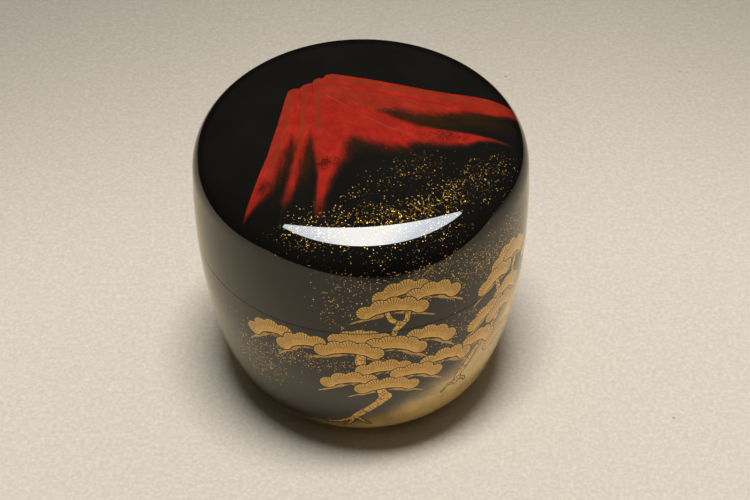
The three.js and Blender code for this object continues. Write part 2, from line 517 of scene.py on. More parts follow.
def along_strokes(across, height, strokes, fattened=1.0):
    """For each place, the signed distance off the nearest stroke, its half width and the way along it."""
    best = np.full(across.shape, 1e3)
    off = np.full(across.shape, 1e3)
    half = np.zeros(across.shape)
    along = np.zeros(across.shape)
    for stroke in strokes:
        run = 0.0
        for (ax, ay, aw), (bx, by, bw) in zip(stroke, stroke[1:]):
            dx, dy = bx - ax, by - ay
            length = np.hypot(dx, dy)
            t = ((across - ax) * dx + (height - ay) * dy) / length ** 2
            held = np.clip(t, 0, 1)
            distance = np.hypot(across - ax - held * dx, height - ay - held * dy)
            side = np.sign((across - ax) * dy - (height - ay) * dx)
            width = aw + (bw - aw) * held
            nearer = distance - width * fattened < best
            best = np.where(nearer, distance - width * fattened, best)
            off = np.where(nearer, distance * side, off)
            half = np.where(nearer, width, half)
            along = np.where(nearer, run + held * length, along)
            run += length
    return off, half, along


def wood(across, height, strokes):
    """Distance inside the wood, the way along it and the way across it."""
    off, half, along = along_strokes(across, height, strokes)
    return np.maximum(half - abs(off), NOTHING), along, off


def pad_twigs(pad, seed):
    """A net of thin twigs in the hollow of a pad, one of them running on past its end."""
    rng = np.random.default_rng(seed)
    along = np.subtract(pad.right, pad.left) / np.hypot(*np.subtract(pad.right, pad.left))
    upwards = np.array([-along[1], along[0]])
    found = []
    # Each strand: where it starts and ends on the way out, how far it swings aside, and its half width
    for end in (-1, 1):
        runs_on = pad.twigs == "both" or pad.twigs == {-1: "left", 1: "right"}[end]
        start = arch(pad, end * 0.1) - 2.35 * upwards
        stop = arch(pad, end) + end * 2.6 * along - 3.0 * upwards
        strands = [(0.0, 0.55, 0.45, 0.1), (0.0, 0.5, -0.35, 0.1)]
        if runs_on:
            strands = [(0.0, 1.0, 0.0, 0.16), (0.05, 0.78, -0.5, 0.11), (0.1, 0.62, 0.5, 0.11)]
            strands.append((0.55, 0.9, -0.3, 0.1))
        for first, last, beside, width in strands:
            shares = np.linspace(first, last, 6)
            places = start + shares[:, None] * (stop - start)
            swing = np.sin(np.pi * (shares - first) / (last - first)) ** 0.5
            bow = 0.45 * 4 * shares * (1 - shares) + beside * swing
            places = places + (bow + rng.uniform(-0.14, 0.14, len(shares)))[:, None] * upwards
            found.append(tuple((x, y, width) for x, y in places))
    return found


def twigs(across, height):
    """Signed distance off the nearest twig, and its half width, nought away from any."""
    strokes = [twig for seed, pad in enumerate(PADS) for twig in pad_twigs(pad, seed)]
    off, half, _ = along_strokes(across, height, strokes)
    half = np.where(abs(off) < 0.42, half, 0)
    return off, half


def banks(across, height, clouds):
    """Density of gold in soft-edged banks."""
    total = np.zeros(across.shape)
    for u, v, wide, tall, tilt, density in clouds:
        turn_angle = np.radians(tilt)
        x = (across - u) * np.cos(turn_angle) + (height - v) * np.sin(turn_angle)
        y = (height - v) * np.cos(turn_angle) - (across - u) * np.sin(turn_angle)
        total = np.maximum(total, density * np.exp(-(np.hypot(x / wide, y / tall) ** 2.0)))
    return total


def mist(across, height):
    """Density of the gold mist, whole under its line and fading out above it."""
    u, v = np.array(MIST_LINE, float).T
    return np.clip((np.interp(across, u, v) + MIST_FADE * 0.5 - height) / MIST_FADE, 0, 1)


# The mountain on the lid, in plan millimetres: folds that fan out from the crest. Each lies between two
# borders of points of (across, back, softness), on the left hand of the first and the right of the second

Fold = namedtuple("Fold", "first second fades_from fades_to")

CREST = (-11.0, 11.0)
FOLDS = (
    # The left flank
    Fold(
        ((-17.0, 9.0, 0.2), (-17.6, -2.6, 0.2), (-19.6, -10.3, 0.2), (-22.4, -18.0, 0.2),
         (-24.0, -24.0, 0.2)),
        ((-11.0, 9.5, 0.2), (-11.4, -1.1, 0.3), (-12.6, -6.6, 1.0), (-13.9, -11.4, 1.6), (-15.2, -15.3, 1.6),
         (-16.6, -18.6, 1.2), (-18.6, -20.4, 0.7), (-21.2, -22.4, 0.3)), 33.0, 36.0),
    # The second fold
    Fold(
        ((-14.0, 10.0, 0.2), (-13.2, 0.0, 0.3), (-13.2, -5.0, 0.6), (-12.5, -8.6, 1.0), (-12.5, -11.7, 0.9),
         (-13.4, -16.9, 0.6), (-14.3, -21.6, 0.6)),
        ((-8.4, 9.5, 0.3), (-8.6, 1.3, 0.3), (-9.0, -6.0, 0.9), (-10.1, -10.5, 1.5), (-11.0, -14.6, 1.4),
         (-11.8, -18.4, 0.7), (-13.2, -21.8, 0.6)), 28.0, 33.6),
    # The middle face, down to its narrow foot
    Fold(
        ((-11.5, 10.0, 0.2), (-10.2, 0.0, 0.3), (-9.7, -5.0, 0.6), (-8.9, -9.0, 0.8), (-8.4, -12.2, 0.6),
         (-7.9, -16.3, 0.4), (-8.3, -24.4, 0.5)),
        ((-6.0, 12.0, 0.3), (3.0, 0.0, 0.5), (-0.6, -6.0, 0.9), (-2.3, -9.0, 1.5), (-2.7, -12.6, 1.5),
         (-3.9, -14.4, 1.1), (-5.0, -17.0, 1.1), (-6.6, -22.0, 0.6), (-7.2, -25.0, 0.5)), 31.0, 36.4),
    # The right slope, that ends in a thin tip
    Fold(
        ((-10.0, 8.0, 0.3), (-6.0, -3.0, 0.5), (-2.8, -7.0, 1.2), (0.0, -8.2, 1.6), (2.6, -9.2, 1.7),
         (5.6, -9.9, 1.7), (8.8, -9.9, 1.2), (10.2, -8.7, 1.2), (13.6, -8.4, 1.2), (17.0, -8.3, 1.1),
         (20.2, -7.6, 0.7), (22.4, -6.1, 0.5), (25.0, -5.3, 0.35), (28.6, -4.7, 0.25)),
        ((-9.0, 10.0, 0.3), (0.0, 4.0, 0.3), (4.2, 0.0, 1.2), (6.9, -1.9, 1.0), (11.4, -3.8, 0.8),
         (15.8, -4.3, 0.4), (22.0, -4.5, 0.3), (28.6, -4.5, 0.25)), 37.0, 43.0),
    # The long right ridge, over the edge of the crown
    Fold(
        ((-12.0, 8.0, 0.3), (-6.0, 1.0, 0.3), (0.0, -2.0, 0.4), (3.6, -0.6, 1.4), (6.9, -0.2, 2.0),
         (10.7, -0.9, 2.0), (14.1, -0.8, 1.8), (17.2, 0.3, 1.5), (21.6, 1.4, 1.3), (26.0, 2.2, 0.8),
         (28.6, 3.6, 0.7), (31.5, 5.6, 0.5)),
        ((-9.0, 15.0, 0.2), (5.8, 12.0, 0.2), (18.0, 10.0, 0.2), (33.0, 10.5, 0.2)), 40.0, 43.5),
)
# The hard outer edge, left of the left flank and behind the long ridge
OUTER_EDGE = (
    (-21.8, -22.8, 0), (-19.9, -18.0, 0), (-17.3, -10.3, 0), (-15.6, -2.6, 0), (-14.1, 6.0, 0),
    (-13.8, 7.4, 0), (-12.8, 8.1, 0), (-11.6, 7.9, 0), (-11.0, 8.8, 0), (-10.0, 9.3, 0),
    (-9.2, 9.3, 0), (-8.9, 10.4, 0), (-8.1, 10.9, 0), (-7.2, 10.7, 0), (-6.6, 11.8, 0),
    (-5.4, 12.1, 0), (-0.7, 10.6, 0), (5.8, 8.7, 0), (12.6, 7.2, 0), (18.0, 6.7, 0),
    (23.0, 7.1, 0), (29.4, 7.6, 0), (33.0, 7.0, 0),
)
# Thin purple lines between the upper folds
CREASES = (
    ((-11.65, 8.0, 0), (-11.3, 2.3, 0), (-11.7, -4.6, 0)),
    ((-9.2, 9.3, 0), (-8.8, 2.0, 0), (-8.8, -4.0, 0)),
    ((-7.2, 10.2, 0), (-6.6, 9.5, 0), (1.6, 5.9, 0), (5.7, 4.9, 0), (11.5, 3.7, 0), (17.6, 2.7, 0)),
)
# One fine line drawn in gold down the right slope
HAIRLINE = (((-6.6, 5.2, 0), (-5.7, 4.3, 0), (-2.8, 1.7, 0), (0.0, -1.1, 0), (5.3, -4.7, 0), (9.4, -6.3, 0)),)
# Brown gold rubbed along the folds, as strokes of (across, back, half width)
RUBBED = (
    ((-13.0, 7.5, 0.9), (-13.5, 4.0, 1.1), (-14.0, 0.0, 1.1), (-14.6, -5.0, 1.1), (-15.7, -10.0, 1.2),
     (-16.7, -13.5, 0.9), (-17.4, -15.4, 0.3)),
    ((-10.3, 8.9, 0.9), (-10.7, 5.0, 0.8), (-10.8, 0.0, 0.8), (-11.0, -5.0, 0.7), (-11.6, -10.0, 0.3)),
    ((-8.0, 6.4, 1.0), (-8.1, 3.0, 0.9), (-7.9, 0.0, 0.8), (-7.8, -4.0, 0.6), (-7.6, -8.0, 0.2)),
    ((-8.2, 10.3, 0.7), (-8.6, 8.9, 1.0), (-5.5, 7.8, 1.1), (0.0, 5.0, 1.1), (5.0, 3.6, 1.1),
     (10.0, 2.4, 0.9), (16.0, 1.4, 0.4)),
    ((-8.0, 6.4, 0.7), (-5.0, 5.4, 0.9), (-1.0, 3.0, 1.1), (3.0, 1.2, 1.4), (7.0, -0.2, 1.9),
     (12.0, -1.6, 2.2)),
    ((-6.0, 11.0, 1.0), (-2.0, 9.7, 1.3), (4.0, 7.6, 1.6), (10.0, 6.2, 1.6), (16.0, 5.4, 1.5),
     (22.0, 5.4, 1.4), (29.0, 5.9, 1.2)),
)
# Soot worn into the red: centre, reach along and across, bearing, strength
SOOT = (
    (-6.6, -13.6, 2.2, 1.3, 40, 1.1),
    (-4.4, -13.0, 1.8, 1.2, 70, 0.8),
    (-18.0, -17.6, 1.8, 1.1, 50, 1.2),
    (16.0, -6.0, 5.0, 1.9, -6, 0.75),
    (8.6, -7.2, 3.0, 0.5, -24, 0.5),
    (-13.6, -10.0, 3.0, 0.5, 76, 0.5),
)
# Brown dust in the valleys between the folds
VALLEYS = (
    (-14.0, -13.0, 6.5, 1.3, 72, 0.8),
    (-9.6, -13.5, 6.5, 1.5, 84, 0.8),
    (12.0, -2.0, 9.0, 1.9, -6, 1.25),
    (22.0, -0.6, 8.0, 2.6, 8, 1.0),
    (-1.0, -10.0, 3.2, 3.0, -20, 0.75),
    (6.0, -11.0, 9.0, 1.8, 0, 0.45),
    (-16.5, -21.0, 5.0, 2.6, 20, 0.3),
)
# Gold flakes sprinkled on the crown: centre across and back, reach, bearing, density
CROWN_FLAKES = (
    (-3.0, -25.6, 6.0, 2.0, -4, 0.7),
    (5.0, -25.4, 6.0, 2.4, 4, 1.0),
    (11.0, -23.4, 5.5, 2.4, 18, 1.05),
    (16.5, -19.6, 5.0, 2.8, 38, 1.0),
    (22.0, -15.0, 4.5, 2.8, 40, 0.8),
    (26.0, -11.0, 3.6, 2.4, 50, 0.5),
    (9.5, -15.0, 4.2, 3.0, 10, 0.5),
    (4.0, -18.6, 4.0, 2.4, -8, 0.4),
    (13.5, -12.6, 3.6, 1.8, -6, 0.3),
    (-1.0, -21.0, 3.0, 2.0, 10, 0.3),
    (-9.0, -27.6, 5.0, 2.2, -14, 0.75),
    (4.0, -30.0, 12.0, 1.8, 2, 0.3),
    (14.0, -27.0, 6.0, 2.2, 24, 0.45),
)


def mountain(x, y):
    """Four fields: the red with its hard edge, its shading, what the brush streaks follow, and fine lines."""
    red = np.full(x.shape, -2.0)
    bearing = np.arctan2(x - CREST[0], -(y - CREST[1]))
    distance = np.hypot(x - CREST[0], y - CREST[1])
    for fold in FOLDS:
        from_first, first_softness, _ = along_strokes(x, y, (fold.first,), 0.0)
        from_second, second_softness, _ = along_strokes(x, y, (fold.second,), 0.0)
        within = np.minimum(-from_first / first_softness, from_second / second_softness)
        dying = (fold.fades_to - distance) / (fold.fades_to - fold.fades_from)
        red = np.maximum(red, np.minimum(within, dying * 1.6 - 0.4))
    outer, _, _ = along_strokes(x, y, (OUTER_EDGE,))
    off, half, _ = along_strokes(x, y, RUBBED)
    rubbed = np.clip(1 - (off / half) ** 2, 0, 1)
    creases, _, _ = along_strokes(x, y, CREASES)
    hairline, _, _ = along_strokes(x, y, HAIRLINE)
    return {
        "mountain": (np.clip(red, -2, 2), np.clip(outer, -9, 9)),
        "mountain_tone": (rubbed, banks(x, y, SOOT), banks(x, y, VALLEYS)),
        "mountain_flow": (bearing * 14.0, distance * 0.16),
        "mountain_lines": (np.clip(abs(creases), 0, 3), np.clip(abs(hairline), 0, 3)),
    }


# Reading and marking a piece's mesh

def read(items, name, width, kind=np.float32):
    """One property of all the items of a mesh, a row for each."""
    values = np.zeros(len(items) * width, kind)
    items.foreach_get(name, values)
    return values.reshape(-1, width)


def vertex_places(mesh):
    return read(mesh.vertices, "co", 3).astype(float) / MM


def mark(mesh, name, *channels):
    """Stores a field of up to three numbers on the mesh's points."""
    values = np.zeros((len(mesh.vertices), 3), np.float32)
    for column, channel in enumerate(channels):
        values[:, column] = channel
    attribute = mesh.attributes.new(name, "FLOAT_VECTOR", "POINT")
    attribute.data.foreach_set("vector", values.ravel())


def mark_side_picture(mesh, crown_flakes=0.0):
    """Lays the picture round the side: across from the middle of the front, and up from the foot."""
    x, y, height = vertex_places(mesh).T
    across = np.arctan2(x, -y) * WIDEST_RADIUS
    for layer in LAYERS:
        mark(mesh, "pine_" + layer, *foliage(across, height, layer))
    mark(mesh, "twigs", *twigs(across, height))
    mark(mesh, "wood", *wood(across, height, TRUNKS + ROOTS))
    on_side = np.clip((55.0 - height) / 2.0, 0, 1)
    mark(mesh, "gold", banks(across, height, FLAKE_BANKS) * on_side, mist(across, height), crown_flakes)


def mark_crown_picture(mesh):
    """Lays the mountain over the crown, and gives back the density of the flakes there."""
    x, y, z = vertex_places(mesh).T
    for name, channels in mountain(x, y).items():
        mark(mesh, name, *channels)
    on_crown = np.clip((z - 50.0) / 3.0, 0, 1)
    return banks(x, y, CROWN_FLAKES) * on_crown


def outside_faces(mesh, seam, above):
    """Which faces are on the outside, from the foot or the seam up."""
    normals = read(mesh.polygons, "normal", 3)
    centres = read(mesh.polygons, "center", 3) / MM
    radius = np.hypot(centres[:, 0], centres[:, 1])
    outwards = (normals[:, :2] * centres[:, :2]).sum(axis=1) / radius
    if above:
        return (outwards > 0.05) | (normals[:, 2] > 0.05)
    return (outwards > 0.02) & (centres[:, 2] < seam) & (radius > FOOT_OUTER_RADIUS)


def way_along(places, profile):
    """How far along its half section each place lies, in millimetres."""
    run = np.append(0.0, np.cumsum(np.hypot(*np.diff(profile, axis=0).T)))
    section = np.hypot(places[:, 0], places[:, 1]) + 1j * places[:, 2]
    chain = profile[:, 0] + 1j * profile[:, 1]
    parts = np.array_split(section, max(1, len(section) // 10000))
    return np.concatenate([run[abs(part[:, None] - chain).argmin(axis=1)] for part in parts])


def unwrap(mesh, profile, seam, above):
    """A map without overlaps: the side in two rows, the crown as a disc, the inside in what is left."""
    places = vertex_places(mesh)
    corners = read(mesh.loops, "vertex_index", 1, np.int32)[:, 0]
    sizes = read(mesh.polygons, "loop_total", 1, np.int32)[:, 0]
    centres = np.repeat(read(mesh.polygons, "center", 3), sizes, axis=0) / MM
    outer = np.repeat(outside_faces(mesh, seam, above), sizes)
    at = places[corners]
    along = way_along(places, profile)[corners]
    middle = np.degrees(np.arctan2(centres[:, 0], -centres[:, 1]))
    turned = np.degrees(np.arctan2(at[:, 0], -at[:, 1]))
    turned = np.where(np.hypot(at[:, 0], at[:, 1]) < 1e-3, middle, turned)
    turned = (turned - middle + 180) % 360 - 180 + (middle - FINE_FROM) % 360
    row = ((middle - FINE_FROM) % 360 >= 180).astype(float)
    u = 0.01 + 0.98 * (turned / 180 - row)
    first, last = along[outer].min(), along[outer].max()
    if above:
        on_disc = outer & (centres[:, 2] > DISC_FROM)
        side_end = along[outer & ~on_disc].max()
        v = 0.72 + row * 0.14 + 0.13 * (along - first) / (side_end - first)
        u = np.where(on_disc, 0.355 + 0.35 * at[:, 0] / WIDEST_RADIUS, u)
        v = np.where(on_disc, 0.355 + 0.35 * at[:, 1] / WIDEST_RADIUS, v)
        u = np.where(outer, u, 0.73 + 0.26 * turned / 360)
        v = np.where(outer, v, 0.01 + 0.69 * along / first)
    else:
        v = 0.01 + row * 0.4 + 0.38 * (along - first) / (last - first)
        past = np.where(along < last - 1e-3, along, along - (last - first) + 1.0)
        u = np.where(outer, u, 0.01 + 0.98 * turned / 360)
        v = np.where(outer, v, 0.81 + 0.18 * past / past[~outer].max())
    layer = mesh.uv_layers.new(name="OFBake", do_init=False)
    layer.uv.foreach_set("vector", np.stack([u, v], axis=1).astype(np.float32).ravel())


# Finishes

class Recipe:
    """A material's nodes, added one after another."""

    def __init__(self, name):
        self.material = bpy.data.materials.new(name)
        self.material.use_nodes = True
        self.tree = self.material.node_tree
        self.tree.nodes.clear()

    def node(self, kind, **settings):
        made = self.tree.nodes.new(kind)
        for name, value in settings.items():
            setattr(made, name, value)
        return made

    def feed(self, socket, value):
        if isinstance(value, bpy.types.NodeSocket):
            self.tree.links.new(value, socket)
        elif hasattr(value, "__len__") and len(value) == 3 and len(socket.default_value) == 4:
            socket.default_value = (*value, 1.0)
        else:
            socket.default_value = value

    def maths(self, operation, a, b=0.0, c=0.0):
        made = self.node("ShaderNodeMath", operation=operation)
        for socket, value in zip(made.inputs, (a, b, c)):
            self.feed(socket, value)
        return made.outputs[0]

    def times(self, a, b):
        return self.maths("MULTIPLY", a, b)

    def less(self, a, b):
        return self.maths("SUBTRACT", a, b)

    def scaled(self, value, factor, added):
        return self.maths("MULTIPLY_ADD", value, factor, added)

    def step(self, value, low, high, bottom=0.0, top=1.0):
        """Rises smoothly from bottom to top as the value goes from low to high."""
        made = self.node("ShaderNodeMapRange", interpolation_type="SMOOTHSTEP")
        for socket, given in zip(made.inputs, (value, low, high, bottom, top)):
            self.feed(socket, given)
        return made.outputs[0]

    def mix(self, factor, under, over):
        made = self.node("ShaderNodeMix", data_type="RGBA")
        self.feed(made.inputs["Factor"], factor)
        self.feed(made.inputs[6], under)
        self.feed(made.inputs[7], over)
        return made.outputs[2]

    def blend(self, factor, under, over):
        made = self.node("ShaderNodeMix", data_type="FLOAT")
        self.feed(made.inputs["Factor"], factor)
        self.feed(made.inputs[2], under)
        self.feed(made.inputs[3], over)
        return made.outputs[0]

    def field(self, name):
        """The three numbers of a field on the mesh."""
        return self.parts(self.node("ShaderNodeAttribute", attribute_name=name).outputs["Vector"])

    def parts(self, vector):
        made = self.node("ShaderNodeSeparateXYZ")
        self.tree.links.new(vector, made.inputs[0])
        return made.outputs

    def places(self):
        return self.node("ShaderNodeTexCoord").outputs["Object"]

    def vector(self, x, y, z=0.0):
        made = self.node("ShaderNodeCombineXYZ")
        for socket, value in zip(made.inputs, (x, y, z)):
            self.feed(socket, value)
        return made.outputs[0]

    def noise(self, vector, scale, detail, roughness):
        made = self.node("ShaderNodeTexNoise")
        self.feed(made.inputs["Vector"], vector)
        self.feed(made.inputs["Scale"], scale)
        self.feed(made.inputs["Detail"], detail)
        self.feed(made.inputs["Roughness"], roughness)
        return made.outputs["Fac"]

    def lumps(self, size, detail=2.0, roughness=0.5):
        """Noise over the piece, with lumps of a size in millimetres."""
        return self.noise(self.places(), 1 / (size * MM), detail, roughness)

    def cells(self, vector, scale, feature="F1"):
        made = self.node("ShaderNodeTexVoronoi", feature=feature)
        self.feed(made.inputs["Vector"], vector)
        self.feed(made.inputs["Scale"], scale)
        return made

    def channels(self, colour):
        made = self.node("ShaderNodeSeparateColor")
        self.tree.links.new(colour, made.inputs[0])
        return made.outputs

    def surface(self, shader):
        """Puts a shader on the surface and gives the finished material."""
        output = self.node("ShaderNodeOutputMaterial")
        self.tree.links.new(shader.outputs[0], output.inputs["Surface"])
        return self.material

    def lacquer(self, colour, roughness, coat_roughness, metallic=0.0, coat=1.0):
        """Colour under a clear coat."""
        shader = self.node("ShaderNodeBsdfPrincipled")
        self.feed(shader.inputs["Base Color"], colour)
        self.feed(shader.inputs["Roughness"], roughness)
        self.feed(shader.inputs["Metallic"], metallic)
        self.feed(shader.inputs["Specular IOR Level"], 0.0)
        self.feed(shader.inputs["Coat Weight"], coat)
        self.feed(shader.inputs["Coat Roughness"], coat_roughness)
        self.feed(shader.inputs["Coat IOR"], 1.5)
        return self.surface(shader)


def toned(colour, *tint):
    """A colour multiplied by one number, or by one for each channel."""
    tint = tint if len(tint) == 3 else tint * 3
    return [min(1.0, channel * part) for channel, part in zip(colour, tint)]


def add_flakes(recipe, colour, density, pitch, dim, bright):
    """Scattered flakes of gold, most of them dim and a few bright."""
    found = recipe.cells(recipe.places(), 1 / (pitch * MM))
    chance = recipe.channels(found.outputs["Color"])
    present = recipe.maths("LESS_THAN", chance[0], density)
    spread = recipe.scaled(chance[2], 0.24, 0.24)
    near = recipe.step(recipe.less(spread, found.outputs["Distance"]), -0.03, 0.03)
    mask = recipe.times(present, near)
    tint = recipe.maths("POWER", chance[1], 2.6)
    return recipe.mix(mask, colour, recipe.mix(tint, dim, bright)), mask


def add_mist(recipe, colour, amount, mist):
    """Fine powder, whole where the mist is thick and a thin veil where it ends."""
    grain = recipe.lumps(0.17, 3.0, 0.75)
    cloud = recipe.lumps(6.0, 3.0, 0.6)
    amount = recipe.times(amount, recipe.step(cloud, 0.2, 0.7, 0.7, 1.1))
    speck = recipe.scaled(recipe.less(grain, 0.5), 0.9, amount)
    cover = recipe.times(recipe.step(speck, 0.05, 1.2), recipe.step(amount, 0.0, 0.25))
    return recipe.mix(cover, colour, mist), cover


def add_twigs(recipe, colour, gold):
    off, half, _ = recipe.field("twigs")
    edge = recipe.less(half, recipe.maths("ABSOLUTE", off))
    cover = recipe.step(edge, -0.02, 0.02)
    return recipe.mix(cover, colour, gold), cover


def add_wood(recipe, colour, black, gold):
    """Trunks in gold, with cracked bark and a dark line round them."""
    inside, along, off = recipe.field("wood")
    ring = recipe.step(inside, -0.32, -0.24)
    colour = recipe.mix(ring, colour, black)
    bark = recipe.cells(recipe.vector(recipe.times(along, 0.9), off), 1.1, "DISTANCE_TO_EDGE")
    crack = recipe.step(bark.outputs["Distance"], 0.03, 0.1, 0.15, 1.0)
    cover = recipe.times(recipe.step(inside, -0.02, 0.04), crack)
    return recipe.mix(cover, colour, gold), cover


def add_pines(recipe, colour, layer, black, gold, needle, shine):
    """One layer of foliage: a dark outline, gold inside, and darker lines between the needles."""
    inside, count, strength = recipe.field("pine_" + layer)
    ring = recipe.step(inside, -0.28, -0.2)
    colour = recipe.mix(ring, colour, black)
    wave = recipe.maths("ABSOLUTE", recipe.less(recipe.maths("FRACT", count), 0.5))
    line_mask = recipe.step(wave, 0.09, 0.17, 1.0, 0.0)
    lines = recipe.times(line_mask, recipe.step(strength, 0.1, 0.45))
    rim = recipe.step(inside, 0.12, 0.34, 0.5, 0.0)
    painted = recipe.mix(recipe.times(lines, 0.85), recipe.mix(rim, gold, shine), needle)
    cover = recipe.step(inside, -0.02, 0.04)
    return recipe.mix(cover, colour, painted), cover


def add_mountain(recipe, colour, settings):
    """Vermilion folds, rubbed with brown gold, dusted in the valleys and brushed out at their feet."""
    red, outer, _ = recipe.field("mountain")
    rubbed, soot, valley = recipe.field("mountain_tone")
    bearing, reach, _ = recipe.field("mountain_flow")
    crease, hairline, _ = recipe.field("mountain_lines")
    streaks = recipe.noise(recipe.vector(bearing, reach), 2.2, 3.0, 0.65)
    grain = recipe.less(recipe.lumps(0.3, 2.0, 0.7), 0.5)
    cloud = recipe.lumps(3.0, 3.0, 0.6)
    ragged = recipe.scaled(recipe.less(streaks, 0.5), 1.5, red)
    ragged = recipe.scaled(grain, 1.0, ragged)
    hard = recipe.step(outer, -0.02, 0.06)
    dusted = recipe.times(recipe.step(recipe.scaled(grain, 1.1, valley), 0.1, 1.2), 0.9)
    colour = recipe.mix(recipe.times(dusted, hard), colour, (0.022, 0.012, 0.004))
    glow = recipe.times(recipe.step(ragged, -1.3, 0.3), 0.5)
    colour = recipe.mix(recipe.times(glow, hard), colour, (0.07, 0.013, 0.006))
    deep = toned(settings.vermilion, 0.62)
    body = recipe.mix(recipe.step(cloud, 0.3, 0.7), settings.vermilion, deep)
    body = recipe.mix(recipe.step(streaks, 0.35, 0.7, 0.0, 0.65), body, deep)
    dust = recipe.step(recipe.scaled(grain, 1.6, rubbed), 0.0, 1.3)
    body = recipe.mix(recipe.times(dust, 0.6), body, (0.15, 0.033, 0.01))
    body = recipe.mix(recipe.step(crease, 0.04, 0.2, 0.7, 0.0), body, (0.16, 0.01, 0.016))
    body = recipe.mix(recipe.step(hairline, 0.03, 0.12, 0.6, 0.0), body, (0.13, 0.085, 0.035))
    worn = recipe.step(recipe.scaled(grain, 3.2, recipe.less(soot, 0.42)), 0.0, 0.6)
    body = recipe.mix(recipe.times(worn, 0.85), body, (0.03, 0.008, 0.005))
    cover = recipe.times(recipe.step(ragged, -0.3, 1.2), hard)
    return recipe.mix(cover, colour, body)


def black_lacquer(recipe, black):
    """The black, very faintly uneven in depth."""
    depth = recipe.lumps(9.0, 2.0)
    return recipe.mix(recipe.step(depth, 0.3, 0.7), black, toned(black, 1.25))


def painted_lacquer(name, settings, seam_height, with_mountain):
    """The polished black with the whole picture in it."""
    recipe = Recipe(name)
    black, gold, needle = settings.black, settings.gold, settings.needle
    powder = recipe.lumps(0.13, 2.0, 0.7)
    tone = recipe.lumps(2.6, 3.0, 0.6)
    sprinkled = recipe.mix(recipe.step(powder, 0.3, 0.75), toned(gold, 0.66), toned(gold, 1.4))
    sprinkled = recipe.mix(recipe.step(tone, 0.35, 0.7, 0.0, 0.35), sprinkled, toned(gold, 0.72))
    shine = toned(gold, 1.5)
    bright = recipe.mix(0.45, sprinkled, shine)
    lines = recipe.mix(recipe.step(powder, 0.3, 0.75), toned(needle, 0.7), needle)
    amount, mist_amount, crown = recipe.field("gold")
    colour, cover = add_mist(recipe, black_lacquer(recipe, black), mist_amount, settings.mist)
    covers = [cover]
    if with_mountain:
        colour = add_mountain(recipe, colour, settings)
        amount_here = recipe.times(crown, 0.6)
        colour, cover = add_flakes(recipe, colour, amount_here, 0.23, (0.1, 0.055, 0.007), (0.88, 0.56, 0.11))
        covers.append(cover)
    amount = recipe.times(amount, 0.8)
    colour, cover = add_flakes(recipe, colour, amount, 0.32, (0.52, 0.3, 0.06), (1.0, 0.66, 0.17))
    covers.append(cover)
    colour, cover = add_twigs(recipe, colour, toned(gold, 0.8))
    covers.append(cover)
    colour, cover = add_wood(recipe, colour, black, bright)
    covers.append(cover)
    for layer in LAYERS:
        colour, cover = add_pines(recipe, colour, layer, black, sprinkled, lines, shine)
        covers.append(cover)
    metal = covers[0]
    for cover in covers[1:]:
        metal = recipe.maths("MAXIMUM", metal, cover)
    # The eased edges at the seam are left black
    from_seam = recipe.maths("ABSOLUTE", recipe.less(recipe.parts(recipe.places())[2], seam_height))
    edge = recipe.step(from_seam, 0.07 * MM, 0.14 * MM, 0.9, 0.0)
    colour = recipe.mix(edge, colour, black)
    metal = recipe.times(metal, recipe.less(1.0, edge))
    roughness = recipe.blend(metal, 0.3, 0.5)
    metallic = recipe.times(metal, 0.6)
    return recipe.lacquer(colour, roughness, settings.coat_roughness, metallic)


def plain_lacquer(name, settings):
    """The inside and the underside: the same black, brushed on and not polished so far."""
    recipe = Recipe(name)
    brushed = recipe.lumps(1.4, 3.0, 0.6)
    depth = recipe.mix(recipe.step(brushed, 0.3, 0.7), settings.black, toned(settings.black, 1.5))
    return recipe.lacquer(depth, recipe.step(brushed, 0.2, 0.8, 0.35, 0.5), 0.16, coat=0.6)


def dress(piece, profile, node, seam, above, materials):
    """Gives a turned piece its map and finishes, and its place in the model."""
    mesh = piece.data
    for material in materials:
        mesh.materials.append(material)
    outside = outside_faces(mesh, seam, above)
    mesh.polygons.foreach_set("material_index", np.where(outside, 0, 1).astype(np.int32))
    unwrap(mesh, profile, seam, above)
    mesh.update()
    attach(piece, "root")
    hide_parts(node)


class BodyOperator(bpy.types.Operator):
    """Turns the body, hollow, with its foot ring and the rim that the lid fits over"""

    bl_idname = "tea_caddy.body"
    bl_label = "Body"

    fine_columns: bpy.props.IntProperty(
        name="Fine columns", description="Steps of the turning past the picture",
        default=380, min=60,
    )
    plain_columns: bpy.props.IntProperty(
        name="Plain columns", description="Steps of the turning round the back",
        default=110, min=24,
    )

    def execute(self, context):
        caddy, lacquer = context.scene.tea_caddy, context.scene.tea_caddy_lacquer
        profile = body_profile(caddy)
        piece = turn("Body", profile, self.fine_columns, self.plain_columns)
        mark_side_picture(piece.data)
        seam = caddy.seam_height
        outer = painted_lacquer("Body lacquer", lacquer, seam, False)
        inner = plain_lacquer("Body inner lacquer", lacquer)
        dress(piece, profile, "body", seam / MM, False, (outer, inner))
        return {"FINISHED"}


class LidOperator(bpy.types.Operator):
    """Turns the domed lid, which sits on the body and fits over its rim"""

    bl_idname = "tea_caddy.lid"
    bl_label = "Lid"

    fine_columns: bpy.props.IntProperty(
        name="Fine columns", description="Steps of the turning past the picture",
        default=380, min=60,
    )
    plain_columns: bpy.props.IntProperty(
        name="Plain columns", description="Steps of the turning round the back",
        default=200, min=24,
    )

    def execute(self, context):
        caddy, lacquer = context.scene.tea_caddy, context.scene.tea_caddy_lacquer
        profile = lid_profile(caddy)
        piece = turn("Lid", profile, self.fine_columns, self.plain_columns)
        mark_side_picture(piece.data, mark_crown_picture(piece.data))
        seam = caddy.seam_height
        outer = painted_lacquer("Lid lacquer", lacquer, seam, True)
        inner = plain_lacquer("Lid inner lacquer", lacquer)
        dress(piece, profile, "lid", seam / MM, True, (outer, inner))
        return {"FINISHED"}


# The stage

